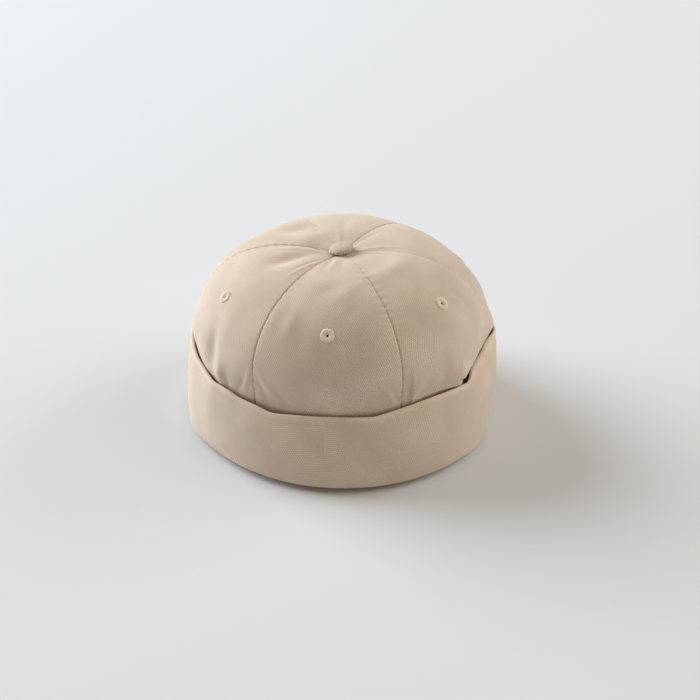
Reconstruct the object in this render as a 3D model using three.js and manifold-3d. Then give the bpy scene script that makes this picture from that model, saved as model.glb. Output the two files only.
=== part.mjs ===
import * as THREE from 'three';
import { mergeVertices } from 'three/addons/utils/BufferGeometryUtils.js';
import Module from 'manifold-3d';

// Docker cap: a brimless crown of six panels with a turned-up cuff, standing on its cuff.
// Millimetres, +Z up, the front towards -Y, the floor at z = 0 under the middle of the cap.
// An azimuth is an angle in degrees from the front, counted towards +X.

const PANEL_NAMES = ['front', 'front_right', 'back_right', 'back', 'back_left', 'front_left'];
const PANEL_ANGLE = 360 / PANEL_NAMES.length;

const CROWN_WIDTH = 184;
const CROWN_DEPTH = 182.6;
const CROWN_WALL = 1.4;
const PANEL_PUFF = 1.4;
const PUFF_MIDDLE = 0.6;
const SEAM_GAP = 0.3;
const PANEL_COLUMNS = 12;
const PANEL_SHARES = [
  0, 0.13, 0.205, 0.236, 0.264, 0.274, 0.29, 0.315, 0.35, 0.4,
  0.455, 0.51, 0.565, 0.62, 0.68, 0.74, 0.8, 0.86, 0.93, 1,
];

const CUFF_FOOT_RADIUS = 97.6;
const CUFF_WALL = 2.4;
const CUFF_CREASE_GROWTH = 2.4;
const CREASE_SOFTNESS = 1.8;
const CUFF_COLUMNS = 70;
const CUFF_SHARES = [0, 0.17, 0.34, 0.5, 0.67, 0.8, 0.88, 0.93, 0.97, 1];
const INNER_ROWS_FROM = 2;
const ROLL_ANGLES = [60, 120];
const ROLL_HEIGHT = 0.92;
const SOLE = { inner: 86.4, outer: 89.4, thickness: 1.8 };

const BUTTON_RADIUS = 7.9;
const BUTTON_HEIGHT = 4;
const BUTTON_SEAT = 111.4;
const BUTTON_EDGE = 1.1;
const BUTTON_ARC = [27, 54, 76];
const SHANK_RADIUS = 2.5;
const SHANK_END = 107.8;

const EYELET_SHARES = {
  front: 0.524,
  front_right: 0.5475,
  back_right: 0.47,
  back: 0.51,
  back_left: 0.47,
  front_left: 0.53,
};
const EYELET_RADIUS = 4.2;
const EYELET_HOLE_RADIUS = 1.1;
const EYELET_COLLAR_RADIUS = 1.6;
const EYELET_HEIGHT = 0.6;
const EYELET_CREST_START = 0.4;
const EYELET_CREST_END = 0.75;
const EYELET_LIFT = 0.3;
const EYELET_COLLAR_END = -1.8;
const PANEL_HOLE_RADIUS = 2;
const DRILL_LENGTH = 8;
const ROUND_SIDES = 12;

const CLOTH = { color: 0xcdb99f, roughness: 0.95, metalness: 0 };
const THREAD = { color: 0xd6c4ab, roughness: 0.9, metalness: 0 };

// The crown's half section from hem to button: reach is a share of the half width.
const CROWN_SECTIONS = [
  { height: 2.1, reach: 0.962 },
  { height: 19, reach: 0.968 },
  { height: 37, reach: 0.974 },
  { height: 53, reach: 0.98 },
  { height: 67.5, reach: 0.99 },
  { height: 81, reach: 0.952 },
  { height: 92.5, reach: 0.872 },
  { height: 101.5, reach: 0.765 },
  { height: 108, reach: 0.63 },
  { height: 112, reach: 0.47 },
  { height: 113.2, reach: 0.29 },
  { height: 111.7, reach: 0.13 },
  { height: 110.4, reach: 0.035 },
];

// Swells and dents of the crown: azimuth and share place the middle, across (degrees) and
// along (share of the section) give the spread, and rise is the depth out of the cloth.
const CROWN_FOLDS = [
  { name: 'left swell', azimuth: -96, share: 0.31, across: 30, along: 0.06, rise: 2 },
  { name: 'left swell behind the rim', azimuth: -82, share: 0.255, across: 15, along: 0.035, rise: 1 },
  { name: 'left swell above the rim', azimuth: -80, share: 0.295, across: 14, along: 0.03, rise: 1 },
  { name: 'left front swell', azimuth: -52, share: 0.262, across: 15, along: 0.045, rise: 2.2 },
  { name: 'left valley', azimuth: -54, share: 0.33, across: 3.6, along: 0.085, rise: -2.4 },
  { name: 'left ridge', azimuth: -47.6, share: 0.275, across: 2.6, along: 0.05, rise: 1.5 },
  { name: 'left tuck', azimuth: -44, share: 0.25, across: 2, along: 0.03, rise: -1 },
  { name: 'front hollow', azimuth: 0, share: 0.235, across: 32, along: 0.08, rise: -1 },
  { name: 'left front seam swell', azimuth: -30, share: 0.42, across: 12, along: 0.17, rise: 1.4 },
  { name: 'right front seam swell', azimuth: 30, share: 0.42, across: 12, along: 0.17, rise: 0.8 },
  { name: 'right swell', azimuth: 97, share: 0.4, across: 16, along: 0.09, rise: 1.5 },
  { name: 'left top dent', azimuth: -63, share: 0.78, across: 9, along: 0.075, rise: -2.8 },
  { name: 'back left dent', azimuth: -132, share: 0.765, across: 15, along: 0.045, rise: -2.6 },
  { name: 'back left ridge', azimuth: -116, share: 0.85, across: 16, along: 0.035, rise: 1 },
  { name: 'right shoulder', azimuth: 58, share: 0.765, across: 26, along: 0.035, rise: 1.3 },
  { name: 'right top swell', azimuth: 40, share: 0.86, across: 20, along: 0.05, rise: 0.6 },
  { name: 'back right flat', azimuth: 114, share: 0.56, across: 18, along: 0.12, rise: -2.2 },
  { name: 'back left flat', azimuth: -122, share: 0.58, across: 19, along: 0.1, rise: -1.6 },
];

// On the right the crown is creased over the cuff's rim: below its lip it is set in, at the lip
// it reaches out to straight runs between these bends, and above it that fades. The lip starts
// and ends over these azimuths. Elsewhere the crown is set in a little behind the rim. Shares
// of the section are counted from the hem, and those under overRim from the cuff's rim.
const LIP = {
  share: 0.274,
  turn: 0.008,
  fade: 0.06,
  inset: 4,
  insetStart: [61, 69],
  start: [55, 60],
  end: [100, 125],
  overRim: [0.002, 0.024],
  hemFade: [0, 0.2],
};
const LIP_BENDS = [
  { azimuth: 34, reach: 91.4 },
  { azimuth: 57, reach: 97.2 },
  { azimuth: 97, reach: 96.4 },
  { azimuth: 126, reach: 90.5 },
];
const CREVICE = { depth: 0.9, overRim: [-0.014, 0.006], hemFade: [0, 0.15] };
const RIM_SHARE = { share: 0.25, height: 53.9, perMillimetre: 0.00555 };

// High on the crown the left seam lies further back.
const SEAM_LEAN = { azimuth: -90, turn: -5.5, spread: 28, start: [0.38, 0.62], end: [0.86, 0.97] };

// The cuff's outer section from floor to rim: height is a share of the rim's height, and
// reach a share of the radius there.
const CUFF_SECTIONS = [
  { height: 0.085, reach: 1 },
  { height: 0.11, reach: 1.005 },
  { height: 0.175, reach: 1.007 },
  { height: 0.33, reach: 1.008 },
  { height: 0.56, reach: 1.008 },
  { height: 0.79, reach: 1.006 },
  { height: 1, reach: 1 },
];

// The foot's plan is longer along the line to the front right. Its corners and its flat right
// side fade as it rises: fade is a share of the rim's height.
const FOOT_SPREAD = { azimuth: 24, rise: 5 };
const FOOT_FOLDS = [
  { name: 'left corner', azimuth: -62, across: 10, fade: 0.25, rise: 2.6 },
  { name: 'right corner', azimuth: 62, across: 6, fade: 0.25, rise: 1.2 },
  { name: 'right flat', azimuth: 84, across: 15, fade: 0.25, rise: -5.6 },
];

// On the right the rim curls in under the crown's lip, as a quarter round.
const CURL = { reach: 5, depth: 8, start: [58, 70], end: [86, 99] };

// The rim runs straight between these creases.
const RIM_CREASES = [
  { azimuth: -152, reach: 98, height: 55.5 },
  { azimuth: -124, reach: 98.4, height: 55.5 },
  { azimuth: -98, reach: 96.6, height: 55.3 },
  { azimuth: -82, reach: 95.3, height: 54 },
  { azimuth: -74, reach: 94.9, height: 52.4 },
  { azimuth: -67.5, reach: 94.6, height: 50.8 },
  { azimuth: -59.7, reach: 93.8, height: 49.2 },
  { azimuth: -51, reach: 94.8, height: 47.5 },
  { azimuth: -41.3, reach: 93.6, height: 48 },
  { azimuth: -36.1, reach: 93, height: 46.4 },
  { azimuth: -27.6, reach: 92.8, height: 46.1 },
  { azimuth: -21, reach: 93.2, height: 44.2 },
  { azimuth: -9.8, reach: 92.1, height: 46 },
  { azimuth: -2, reach: 92.1, height: 46.6 },
  { azimuth: 9.3, reach: 92.2, height: 46.7 },
  { azimuth: 18.4, reach: 92.9, height: 46.3 },
  { azimuth: 28.8, reach: 92.2, height: 48.4 },
  { azimuth: 41.6, reach: 93.3, height: 50.5 },
  { azimuth: 51.4, reach: 94.2, height: 50 },
  { azimuth: 60, reach: 96, height: 49.3 },
  { azimuth: 62, reach: 96.1, height: 51.3 },
  { azimuth: 64.5, reach: 96.2, height: 53 },
  { azimuth: 70, reach: 96.3, height: 54.2 },
  { azimuth: 77, reach: 96.3, height: 54.6 },
  { azimuth: 84, reach: 96.4, height: 54.8 },
  { azimuth: 90, reach: 97.2, height: 55 },
  { azimuth: 97, reach: 98, height: 55.2 },
  { azimuth: 124, reach: 98.4, height: 55.5 },
  { azimuth: 152, reach: 98, height: 55.5 },
  { azimuth: 180, reach: 98.4, height: 55.5 },
];

const wasm = await Module();
wasm.setup();

const radians = THREE.MathUtils.degToRad;
const { lerp, smoothstep } = THREE.MathUtils;
const sectionCurve = (rows) =>
  new THREE.SplineCurve(rows.map((row) => new THREE.Vector2(row.reach, row.height)));
const crownCurve = sectionCurve(CROWN_SECTIONS);
const cuffCurve = sectionCurve(CUFF_SECTIONS);

function turnBetween(from, to) {
  return THREE.MathUtils.euclideanModulo(to - from + 180, 360) - 180;
}

function polarPoint(azimuth, reach, height) {
  const angle = radians(azimuth);
  return new THREE.Vector3(reach * Math.sin(angle), -reach * Math.cos(angle), height);
}

function crownReach(azimuth) {
  const angle = radians(azimuth);
  return 1 / Math.hypot(Math.sin(angle) / (CROWN_WIDTH / 2), Math.cos(angle) / (CROWN_DEPTH / 2));
}

function panelPuff(azimuth, share) {
  const panelShare = Math.abs(Math.sin(radians((180 / PANEL_ANGLE) * (azimuth - PANEL_ANGLE / 2))));
  return PANEL_PUFF * (panelShare - PUFF_MIDDLE) * Math.min(1, 4 * share * (1 - share));
}

// Reach of the straight line between two bends, read at an azimuth.
function straightReach(start, end, azimuth) {
  const whole = radians(turnBetween(start.azimuth, end.azimuth));
  const part = radians(turnBetween(start.azimuth, azimuth));
  return (start.reach * end.reach * Math.sin(whole))
    / (start.reach * Math.sin(part) + end.reach * Math.sin(whole - part));
}

function rimAt(azimuth) {
  const turned = turnBetween(0, azimuth);
  const next = Math.max(0, RIM_CREASES.findIndex((crease) => crease.azimuth > turned));
  const end = RIM_CREASES[next];
  const start = RIM_CREASES.at(next - 1);
  const part = turnBetween(start.azimuth, azimuth) / turnBetween(start.azimuth, end.azimuth);
  return { reach: straightReach(start, end, azimuth), height: lerp(start.height, end.height, part) };
}

function softRim(azimuth) {
  const turns = [-1, -0.5, 0, 0.5, 1].map((turn) => rimAt(azimuth + turn * CREASE_SOFTNESS));
  return {
    reach: turns.reduce((sum, rim) => sum + rim.reach, 0) / turns.length,
    height: turns.reduce((sum, rim) => sum + rim.height, 0) / turns.length,
  };
}

// How far the crown stands out for its lip on the right, or is set in behind the cuff's rim.
function crownLip(azimuth, share) {
  const turned = turnBetween(0, azimuth);
  const next = LIP_BENDS.findIndex((bend) => bend.azimuth > turned);
  const reach = next > 0 ? straightReach(LIP_BENDS[next - 1], LIP_BENDS[next], turned) : 0;
  const plain = crownCurve.getPoint(LIP.share).x * crownReach(azimuth) + panelPuff(azimuth, LIP.share);
  const right = smoothstep(turned, ...LIP.start) * (1 - smoothstep(turned, ...LIP.end));
  const out = smoothstep(share, LIP.share - LIP.turn, LIP.share);
  const rim = RIM_SHARE.share + (softRim(azimuth).height - RIM_SHARE.height) * RIM_SHARE.perMillimetre;
  const low = smoothstep(share - rim, ...LIP.overRim);
  const above = Math.max(0, share - LIP.share) / LIP.fade;
  const step = Math.max(0, reach - plain) * lerp(low, out, right) * Math.exp(-above * above);
  const inset = LIP.inset * right * smoothstep(turned, ...LIP.insetStart) * (1 - out)
    * smoothstep(share, ...LIP.hemFade);
  const behind = (1 - smoothstep(share - rim, ...CREVICE.overRim)) * smoothstep(share, ...CREVICE.hemFade);
  return step - inset - CREVICE.depth * (1 - right) * behind;
}

function seamLean(azimuth, share) {
  const near = Math.min(1, Math.abs(turnBetween(SEAM_LEAN.azimuth, azimuth)) / SEAM_LEAN.spread);
  const high = smoothstep(share, ...SEAM_LEAN.start) * (1 - smoothstep(share, ...SEAM_LEAN.end));
  return SEAM_LEAN.turn * Math.cos((near * Math.PI) / 2) ** 2 * high;
}

// Outer face of the crown: the section turned round the oval plan, with each panel puffed
// between its seams, and the folds and the lip added along the section's normal.
function crownPoint(azimuth, share) {
  const turned = azimuth + seamLean(azimuth, share);
  const section = crownCurve.getPoint(share);
  const along = crownCurve.getTangent(share);
  const half = crownReach(turned);
  const normal = new THREE.Vector2(along.y, -along.x * half).normalize();
  let rise = panelPuff(azimuth, share) + crownLip(turned, share);
  for (const fold of CROWN_FOLDS) {
    const across = turnBetween(fold.azimuth, turned) / fold.across;
    const up = (share - fold.share) / fold.along;
    rise += fold.rise * Math.exp(-across * across - up * up);
  }
  return polarPoint(turned, section.x * half + rise * normal.x, section.y + rise * normal.y);
}

function crownNormal(azimuth, share) {
  const turn = 0.2;
  const step = 0.002;
  const low = Math.max(0, share - step);
  const high = Math.min(1, share + step);
  const around = crownPoint(azimuth + turn, share).sub(crownPoint(azimuth - turn, share));
  const upward = crownPoint(azimuth, high).sub(crownPoint(azimuth, low));
  return around.cross(upward).normalize();
}

function cuffFoot(azimuth, level) {
  let reach = CUFF_FOOT_RADIUS + FOOT_SPREAD.rise * Math.cos(radians(azimuth - FOOT_SPREAD.azimuth)) ** 2;
  for (const fold of FOOT_FOLDS) {
    const across = turnBetween(fold.azimuth, azimuth) / fold.across;
    const up = level / fold.fade;
    reach += fold.rise * Math.exp(-across * across - up * up);
  }
  return reach;
}

// Outer face of the cuff: the foot's plan, taking the creased plan of the rim as it rises.
function cuffOutside(azimuth, share) {
  const rim = softRim(azimuth);
  const section = cuffCurve.getPoint(share);
  const level = Math.min(1, section.y);
  const radius = lerp(cuffFoot(azimuth, level), rim.reach, level ** CUFF_CREASE_GROWTH);
  const turned = turnBetween(0, azimuth);
  const curled = smoothstep(turned, ...CURL.start) * (1 - smoothstep(turned, ...CURL.end));
  const turnIn = THREE.MathUtils.clamp(1 - (rim.height * (1 - level)) / CURL.depth, 0, 1);
  const curl = CURL.reach * curled * (1 - Math.sqrt(1 - turnIn * turnIn));
  return new THREE.Vector2(section.x * radius - curl, section.y * rim.height);
}

// A solid through closed loops of equal length: a ring of them, or a run closed at both ends
// by strips between the first half of the loop and the second.
function loft(loops, isRing) {
  const size = loops[0].length;
  const half = size / 2;
  const at = (loop, place) => (loop % loops.length) * size + (place % size);
  const index = [];
  const quad = (a, b, c, d) => index.push(a, b, c, a, c, d);
  for (let loop = 0; loop < loops.length - (isRing ? 0 : 1); loop += 1) {
    for (let place = 0; place < size; place += 1) {
      quad(at(loop, place), at(loop + 1, place), at(loop + 1, place + 1), at(loop, place + 1));
    }
  }
  if (!isRing) {
    const last = loops.length - 1;
    for (let place = 0; place < half - 1; place += 1) {
      const back = size - 1 - place;
      quad(at(0, place), at(0, place + 1), at(0, back - 1), at(0, back));
      quad(at(last, place), at(last, back), at(last, back - 1), at(last, place + 1));
    }
  }
  const geometry = new THREE.BufferGeometry().setFromPoints(loops.flat());
  geometry.setIndex(index);
  return geometry;
}

// A round solid about +Z from [radius, height] pairs, read up the outside.
function roundSolid(profile) {
  const points = profile.map(([radius, height]) => new THREE.Vector2(radius, height));
  return new THREE.LatheGeometry(points, ROUND_SIDES).rotateX(Math.PI / 2);
}

function toManifold(geometry) {
  const bare = geometry.clone();
  bare.deleteAttribute('normal');
  bare.deleteAttribute('uv');
  const merged = mergeVertices(bare);
  return new wasm.Manifold(new wasm.Mesh({
    numProp: 3,
    vertProperties: merged.getAttribute('position').array,
    triVerts: new Uint32Array(merged.getIndex().array),
  }));
}

function fromManifold(solid) {
  const mesh = solid.getMesh();
  const geometry = new THREE.BufferGeometry();
  geometry.setAttribute('position', new THREE.Float32BufferAttribute(mesh.vertProperties, 3));
  geometry.setIndex(Array.from(mesh.triVerts));
  return geometry;
}

function namedMesh(name, geometry, finish) {
  geometry.computeVertexNormals();
  const mesh = new THREE.Mesh(geometry, new THREE.MeshStandardMaterial(finish));
  mesh.name = name;
  return mesh;
}

// Frame of an eyelet: its middle on the panel, with local +Z out of the cloth.
function eyeletFrame(name, azimuth) {
  const share = EYELET_SHARES[name];
  const outward = crownNormal(azimuth, share);
  const turn = new THREE.Quaternion().setFromUnitVectors(new THREE.Vector3(0, 0, 1), outward);
  return { position: crownPoint(azimuth, share), turn };
}

function crownPanel(name, middle) {
  const loops = [];
  for (let column = 0; column <= PANEL_COLUMNS; column += 1) {
    const outer = [];
    const inner = [];
    for (const share of PANEL_SHARES) {
      const reach = crownCurve.getPoint(share).x * crownReach(middle);
      const half = PANEL_ANGLE / 2 - THREE.MathUtils.radToDeg(SEAM_GAP / 2 / reach);
      const azimuth = middle + half * ((2 * column) / PANEL_COLUMNS - 1);
      const point = crownPoint(azimuth, share);
      outer.push(point);
      inner.unshift(point.clone().addScaledVector(crownNormal(azimuth, share), -CROWN_WALL));
    }
    loops.push([...outer, ...inner]);
  }
  const { position, turn } = eyeletFrame(name, middle);
  const drill = new THREE.CylinderGeometry(PANEL_HOLE_RADIUS, PANEL_HOLE_RADIUS, DRILL_LENGTH, ROUND_SIDES);
  drill.rotateX(Math.PI / 2).applyQuaternion(turn).translate(...position);
  const panel = toManifold(loft(loops, false)).subtract(toManifold(drill));
  return namedMesh(`crown_panel_${name}`, fromManifold(panel), CLOTH);
}

// Embroidered ring lying on the panel, with a collar of thread through the panel's hole.
function eyelet(name, middle) {
  const top = EYELET_LIFT + EYELET_HEIGHT;
  const ring = roundSolid([
    [EYELET_HOLE_RADIUS, EYELET_COLLAR_END],
    [EYELET_COLLAR_RADIUS, EYELET_COLLAR_END],
    [EYELET_COLLAR_RADIUS, EYELET_LIFT],
    [EYELET_RADIUS, EYELET_LIFT],
    [EYELET_RADIUS, EYELET_LIFT + EYELET_HEIGHT / 3],
    [lerp(EYELET_HOLE_RADIUS, EYELET_RADIUS, EYELET_CREST_END), top],
    [lerp(EYELET_HOLE_RADIUS, EYELET_RADIUS, EYELET_CREST_START), top],
    [EYELET_HOLE_RADIUS, EYELET_LIFT],
    [EYELET_HOLE_RADIUS, EYELET_COLLAR_END],
  ]);
  const mesh = namedMesh(`eyelet_${name}`, ring, THREAD);
  const { position, turn } = eyeletFrame(name, middle);
  mesh.position.copy(position);
  mesh.quaternion.copy(turn);
  return mesh;
}

// Doubled band: a flat sole under the crown's hem, a foot that rises to the outer wall, a rolled
// rim, and an inner wall at the band's thickness. Sections are in reach and height.
function cuffSection(azimuth) {
  const outer = CUFF_SHARES.map((share) => cuffOutside(azimuth, share));
  const along = outer.map((point, row) => {
    const next = outer[Math.min(row + 1, outer.length - 1)];
    return next.clone().sub(outer[Math.max(row - 1, 0)]).normalize();
  });
  const outward = along.map((step) => new THREE.Vector2(step.y, -step.x));
  const inner = outer.map((point, row) => point.clone().addScaledVector(outward[row], -CUFF_WALL));
  const roll = ROLL_ANGLES.map(radians).map((angle) => outer.at(-1).clone()
    .addScaledVector(outward.at(-1), (CUFF_WALL / 2) * (Math.cos(angle) - 1))
    .addScaledVector(along.at(-1), (CUFF_WALL / 2) * ROLL_HEIGHT * Math.sin(angle)));
  const foot = (share, rise) => new THREE.Vector2(
    lerp(SOLE.outer, outer[0].x, share),
    rise + outer[0].y * Math.sin((share * Math.PI) / 2),
  );
  const lastInner = (inner[INNER_ROWS_FROM].x - SOLE.outer) / (outer[0].x - SOLE.outer);
  return [
    new THREE.Vector2(SOLE.inner, 0),
    foot(0, 0),
    foot(0.5, 0),
    ...outer,
    ...roll,
    ...inner.slice(INNER_ROWS_FROM).reverse(),
    foot(lastInner, SOLE.thickness),
    foot(lastInner / 2, SOLE.thickness),
    foot(0, SOLE.thickness),
    new THREE.Vector2(SOLE.inner, SOLE.thickness),
  ];
}

function cuff() {
  const loops = Array.from({ length: CUFF_COLUMNS }, (_, column) => {
    const azimuth = (360 * column) / CUFF_COLUMNS;
    return cuffSection(azimuth).map((point) => polarPoint(azimuth, point.x, point.y));
  });
  return namedMesh('cuff', loft(loops, true), CLOTH);
}

// Covered button: a low dome on the crown's middle, with a shank through the panels' tips.
function topButton() {
  const edge = BUTTON_SEAT + BUTTON_EDGE;
  const top = BUTTON_SEAT + BUTTON_HEIGHT;
  const dome = BUTTON_HEIGHT - BUTTON_EDGE;
  const arc = BUTTON_ARC.map((degrees) => {
    const angle = radians(degrees);
    return [BUTTON_RADIUS * Math.cos(angle), edge + dome * Math.sin(angle)];
  });
  return namedMesh('top_button', roundSolid([
    [0, SHANK_END],
    [SHANK_RADIUS, SHANK_END],
    [SHANK_RADIUS, BUTTON_SEAT],
    [BUTTON_RADIUS - BUTTON_EDGE / 2, BUTTON_SEAT],
    [BUTTON_RADIUS, edge],
    ...arc,
    [0, top],
  ]), CLOTH);
}

const cap = new THREE.Group();
PANEL_NAMES.forEach((name, place) => cap.add(crownPanel(name, place * PANEL_ANGLE)));
PANEL_NAMES.forEach((name, place) => cap.add(eyelet(name, place * PANEL_ANGLE)));
cap.add(cuff(), topButton());

// The floor point under the middle of the cap's box is the origin.
cap.updateMatrixWorld(true);
const box = new THREE.Box3().setFromObject(cap);
cap.position.set(-(box.min.x + box.max.x) / 2, -(box.min.y + box.max.y) / 2, -box.min.z);

export default cap;
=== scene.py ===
from math import cos, pi, radians, sin
from typing import NamedTuple

import bpy
import numpy as np
from bpy.props import FloatProperty, FloatVectorProperty, PointerProperty
from mathutils import Matrix, Vector


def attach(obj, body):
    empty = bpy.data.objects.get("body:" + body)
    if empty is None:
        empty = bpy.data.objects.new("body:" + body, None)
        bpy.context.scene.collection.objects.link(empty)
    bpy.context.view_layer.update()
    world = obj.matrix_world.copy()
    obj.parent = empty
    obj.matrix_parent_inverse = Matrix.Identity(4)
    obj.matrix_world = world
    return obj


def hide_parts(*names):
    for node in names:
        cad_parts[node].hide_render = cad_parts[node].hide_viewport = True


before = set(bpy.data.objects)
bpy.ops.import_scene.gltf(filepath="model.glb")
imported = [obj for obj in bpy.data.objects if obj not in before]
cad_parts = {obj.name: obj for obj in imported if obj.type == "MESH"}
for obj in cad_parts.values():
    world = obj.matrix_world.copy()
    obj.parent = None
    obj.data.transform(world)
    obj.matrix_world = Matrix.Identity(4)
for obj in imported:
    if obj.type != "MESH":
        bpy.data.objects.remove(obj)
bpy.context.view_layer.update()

bl_info = {
    "name": "Docker cap",
    "version": (1, 0, 0),
    "blender": (4, 5, 0),
    "location": "View3D > Sidebar > Docker cap",
    "description": "Sews a brimless six-panel twill cap with a turned-up cuff",
    "category": "Add Mesh",
}

# Lengths in the tables and shape functions are millimetres; a mesh is made in metres.
# An azimuth is an angle in degrees from the front of the cap (-Y), counted towards +X.
MM = 0.001
PANEL_NAMES = ("front", "front_right", "back_right", "back", "back_left", "front_left")
PANEL_TURN = 360 / len(PANEL_NAMES)
SEAM_TURN = PANEL_TURN / 2


class Section(NamedTuple):
    """One height of a section and how far it reaches, as a share of the radius."""
    height: float
    reach: float


class Fold(NamedTuple):
    """A swell or dent: its middle, its spread in degrees and share, and its rise."""
    azimuth: float
    share: float
    across: float
    along: float
    rise: float


class Crease(NamedTuple):
    """A narrow ridge or valley: its middle, the turn of its line, half sizes and rise."""
    azimuth: float
    share: float
    turn: float
    length: float
    width: float
    rise: float


class RimCrease(NamedTuple):
    """A bend in the cuff's rim: its azimuth, its reach from the axis and its height."""
    azimuth: float
    reach: float
    height: float


class Seam(NamedTuple):
    """A seam between two panels: how deep its groove is, low down and near the button."""
    azimuth: float
    depth: float
    top_depth: float


class Bell(NamedTuple):
    """A bell across a line: its rise, how far off the line its middle is, and its spread."""
    rise: float
    middle: float
    spread: float


class Wave(NamedTuple):
    """A wave of the cuff: turns round it, climb up it, where each starts, and its share."""
    turns: float
    start: float
    climb: float
    lift: float
    share: float


class Lamp(NamedTuple):
    """A round studio lamp: its name, place and size in metres, its power and its colour."""
    name: str
    place: tuple
    size: float
    power: float
    colour: tuple


CROWN_SECTIONS = (
    Section(2.1, 0.962), Section(19, 0.968), Section(37, 0.974), Section(53, 0.98),
    Section(67.5, 0.99), Section(81, 0.952), Section(92.5, 0.872), Section(101.5, 0.765),
    Section(108, 0.63), Section(112, 0.47), Section(113.2, 0.29), Section(111.7, 0.13),
    Section(110.4, 0.035),
)
CROWN_LENGTH = 180.0

CROWN_FOLDS = (
    Fold(-96, 0.31, 30, 0.06, 2.0),
    Fold(-52, 0.262, 15, 0.045, 2.2),
    Fold(97, 0.40, 16, 0.09, 1.5),
    Fold(0, 0.235, 32, 0.08, -1.0),
    Fold(-54, 0.33, 3.6, 0.085, -2.4),
    Fold(-47.6, 0.275, 2.6, 0.05, 1.5),
    Fold(-44, 0.25, 2.0, 0.03, -1.0),
    Fold(-80, 0.295, 14, 0.03, 1.0),
    Fold(-82, 0.255, 15, 0.035, 1.0),
    Fold(-30, 0.42, 12, 0.17, 1.4),
    Fold(30, 0.42, 12, 0.17, 0.8),
    Fold(-63, 0.78, 9, 0.075, -2.8),
    Fold(-132, 0.765, 15, 0.045, -2.6),
    Fold(-116, 0.85, 16, 0.035, 1.0),
    Fold(58, 0.765, 26, 0.035, 1.3),
    Fold(40, 0.86, 20, 0.05, 0.6),
    Fold(114, 0.56, 18, 0.12, -2.2),
    Fold(-122, 0.58, 19, 0.1, -1.6),
)

SEAMS = (
    Seam(-150, 0.5, 0.15), Seam(-90, 1.0, 0.45), Seam(-30, 1.0, 1.0), Seam(30, 1.0, 0.2),
    Seam(90, 0.12, 0.12), Seam(150, 1.0, 0.6),
)
SEAM_TOP = (0.76, 0.88)

# The left seam leans back by a few degrees between these shares of the crown's section.
LEANING_SEAM = -90
SEAM_LEAN = -5.5
SEAM_LEAN_SPREAD = 28
LEAN_START = (0.38, 0.62)
LEAN_END = (0.86, 0.97)

# A seam is a wide hollow with a sewn line in it. The line sinks at each stitch, and the cloth
# beside it rises between two stitches. Puckers cross it, and their places drift along it.
SEAM_HOLLOW = Bell(0.14, 0, 1.5)
SEAM_LINE = Bell(0.5, 0, 0.45)
STITCH_SINK = 0.3
STITCH_BULGE = Bell(0.16, 1.1, 0.5)
PUCKER = Bell(0.16, 0, 4.5)
PUCKER_PITCH = 5.3
PUCKER_DRIFT = 2.2
PUCKER_DRIFT_LENGTH = 13
PUCKER_TURN = 0.05
PUCKER_END = 0.97
PUCKER_FADE = 0.1

# On the right the crown is creased along straight runs above the cuff's rim, and set in below.
# Starts and ends are azimuths. OVER_RIM and OVER_HEM are shares counted from the rim or the hem.
# A bend is an azimuth and a reach.
LIP_BENDS = ((34, 91.4), (57, 97.2), (97, 96.4), (126, 90.5))
LIP_SHARE = 0.274
LIP_TURN = 0.008
LIP_FADE = 0.06
LIP_START = (55, 60)
LIP_END = (100, 125)
LIP_OVER_RIM = (0.002, 0.024)
LIP_INSET = 4.0
INSET_START = (61, 69)
INSET_OVER_HEM = (0, 0.2)

# Elsewhere the crown is set in a little behind the cuff's rim.
CREVICE = 0.9
CREVICE_OVER_RIM = (-0.014, 0.006)
CREVICE_OVER_HEM = (0, 0.15)

# Near the rim the crown's section has this share at this height, and gains so much a millimetre.
RIM_SHARE = 0.25
RIM_SHARE_HEIGHT = 53.9
SHARE_PER_MM = 0.00555

# On the right the cuff's rim curls inwards.
CURL_REACH = 5.0
CURL_DEPTH = 8.0
CURL_START = (58, 70)
CURL_END = (86, 99)

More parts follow.
